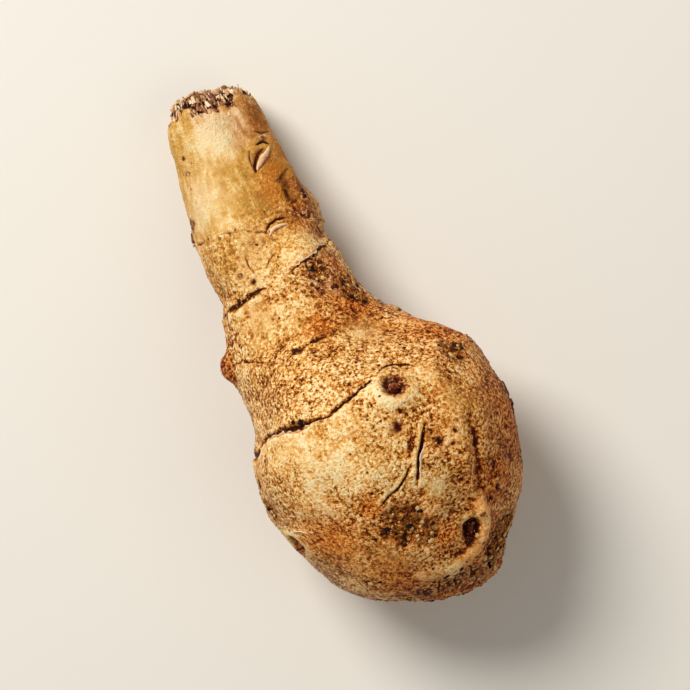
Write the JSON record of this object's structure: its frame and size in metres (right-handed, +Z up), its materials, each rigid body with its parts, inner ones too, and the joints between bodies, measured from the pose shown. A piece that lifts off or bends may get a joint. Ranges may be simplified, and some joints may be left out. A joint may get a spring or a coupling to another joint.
{
  "type": "jerusalem artichoke tuber",
  "caption": "Knobbly root tuber lying on its side: a round body with a budded growing tip, and a ringed neck that tapers to a broken end.",
  "frame": {"origin": "a point of the small flat spot under the body, on which the tuber rests, 3 mm from the spot's middle towards the growing tip", "axes": "+Y along the tuber, from its growing tip to its broken neck; +X to the side on which the body meets the neck with a hollow; +Z up"},
  "size_m": [0.0366, 0.0779, 0.0338],
  "materials": {
    "skin": "thin golden-tan skin, matt to slightly waxy, with brown grains of soil, paler scuffed ridges and reddish-brown buds"
  },
  "bodies": {
    "root": {"tuber": "skin"}
  },
  "joints": []
}
